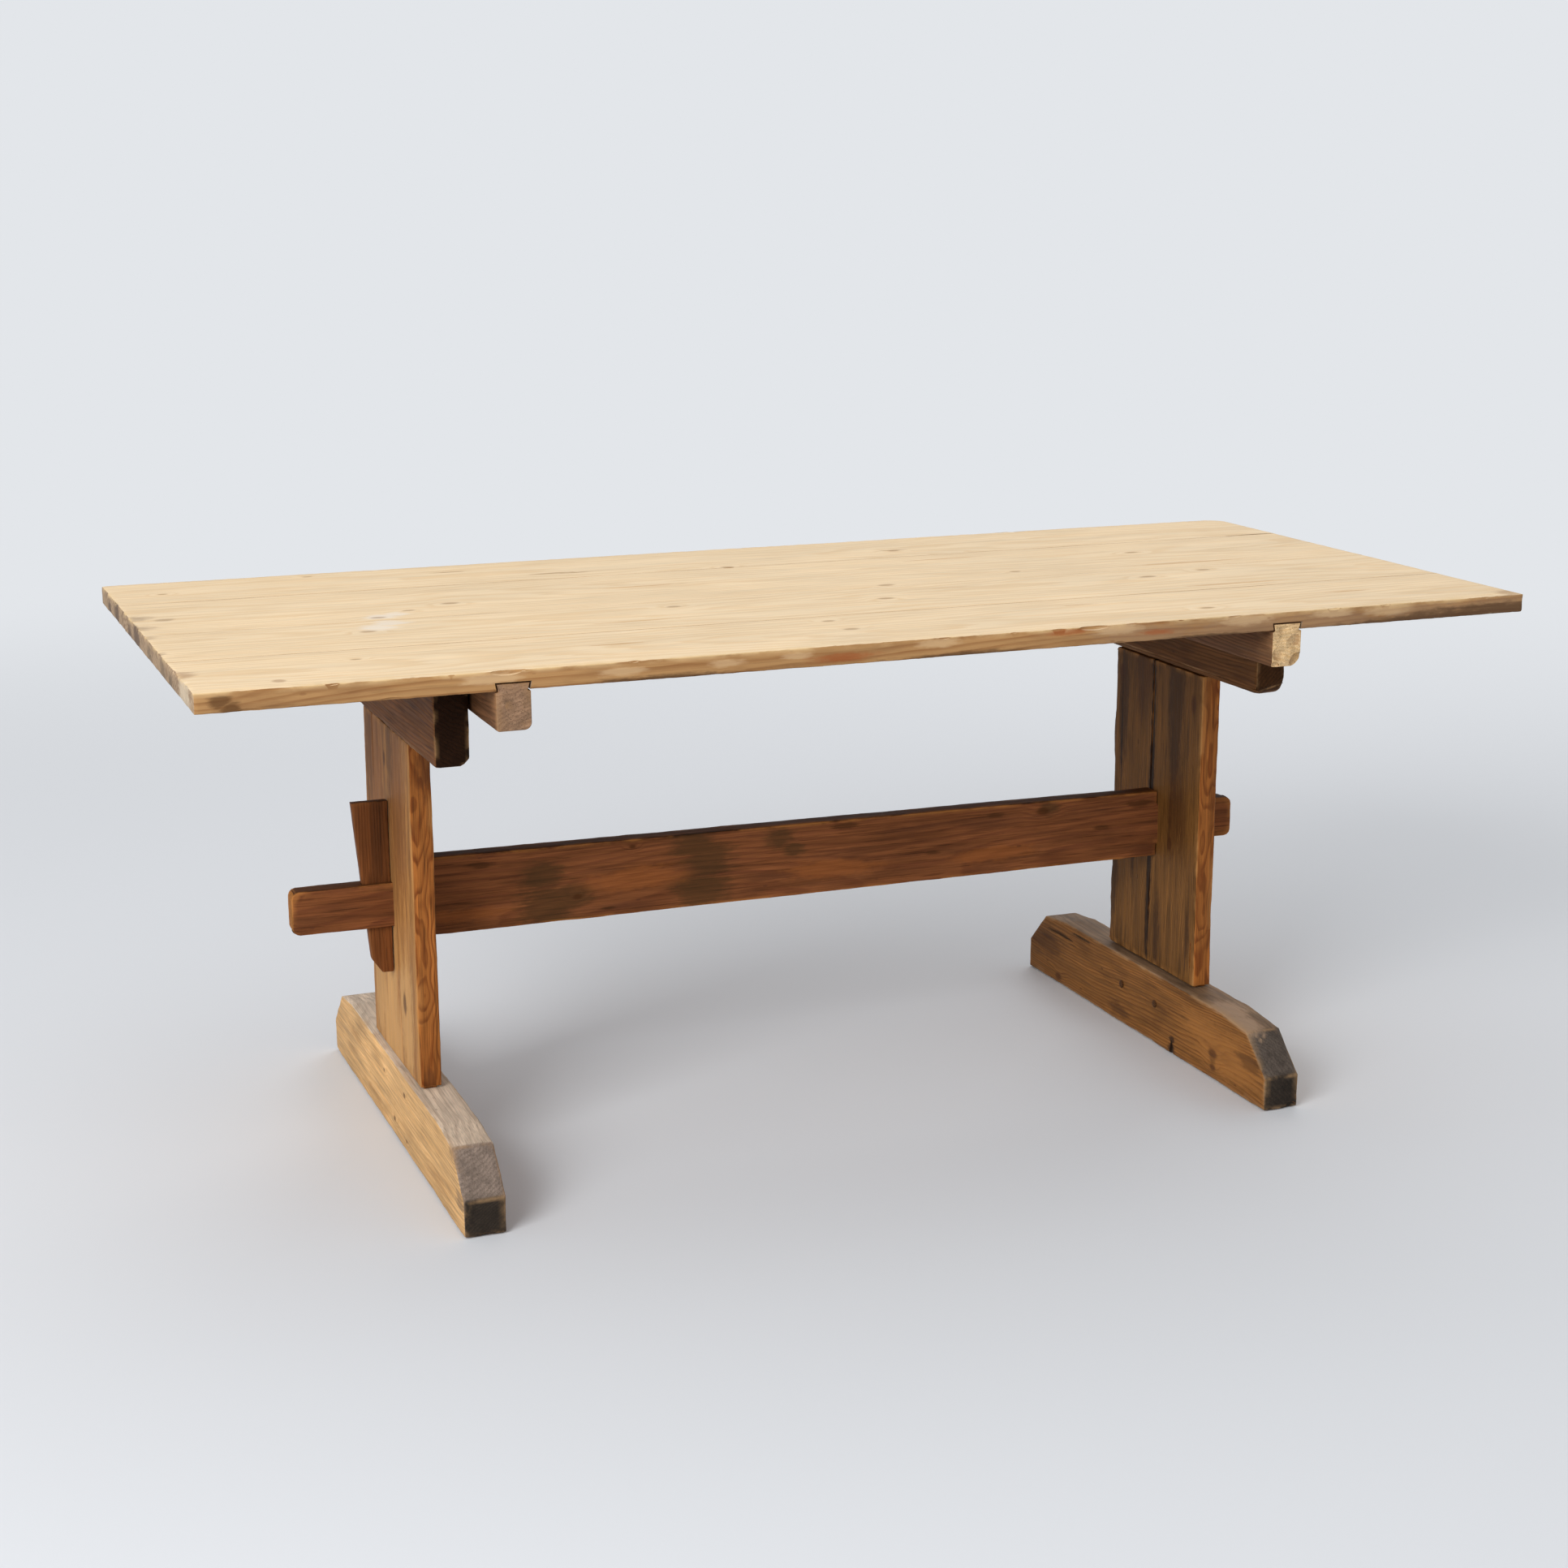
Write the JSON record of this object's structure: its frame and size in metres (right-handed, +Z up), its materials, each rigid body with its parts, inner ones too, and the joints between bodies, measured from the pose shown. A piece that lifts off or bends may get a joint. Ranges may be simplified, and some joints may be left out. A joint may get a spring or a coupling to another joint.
{
  "type": "trestle table",
  "caption": "Knock-down pine trestle table: loose plank top on two sled-foot trestles joined by a low stretcher with wedged tusk tenons.",
  "frame": {"origin": "on the floor, under the middle of the top", "axes": "+X along the top's length, to the right seen from the front; +Y from front to back; +Z up"},
  "size_m": [1.83, 0.83, 0.73],
  "materials": {
    "scrubbed_pine": "scrubbed, unfinished",
    "aged_pine": "aged, worn satin",
    "stretcher_pine": "aged, worn satin",
    "batten_pine": "aged, matte",
    "wedge_wood": "aged, worn satin",
    "peg_wood": "end grain, matte"
  },
  "bodies": {
    "trestle_frame": {"left_foot": "aged_pine", "left_upright": "aged_pine", "left_bearer": "aged_pine", "left_foot_pegs": "peg_wood", "left_bearer_pegs": "peg_wood", "right_foot": "aged_pine", "right_upright": "aged_pine", "right_bearer": "aged_pine", "right_foot_pegs": "peg_wood", "right_bearer_pegs": "peg_wood", "stretcher": "stretcher_pine"},
    "table_top": {"top_board_front": "scrubbed_pine", "top_board_second": "scrubbed_pine", "top_board_third": "scrubbed_pine", "top_board_back": "scrubbed_pine", "top_dowels": "peg_wood", "left_batten": "batten_pine", "right_batten": "batten_pine"},
    "left_wedge": {"left_wedge": "wedge_wood"},
    "right_wedge": {"right_wedge": "wedge_wood"}
  },
  "joints": [
    {"name": "top_lift", "type": "slide", "parent": "trestle_frame", "child": "table_top", "axis": [0, 0, 1], "range_m": [0, 0.12]},
    {"name": "left_wedge_lift", "type": "slide", "parent": "trestle_frame", "child": "left_wedge", "axis": [-0.0905, 0, 0.9959], "range_m": [0, 0.15]},
    {"name": "right_wedge_lift", "type": "slide", "parent": "trestle_frame", "child": "right_wedge", "axis": [0.0905, 0, 0.9959], "range_m": [0, 0.15]}
  ]
}
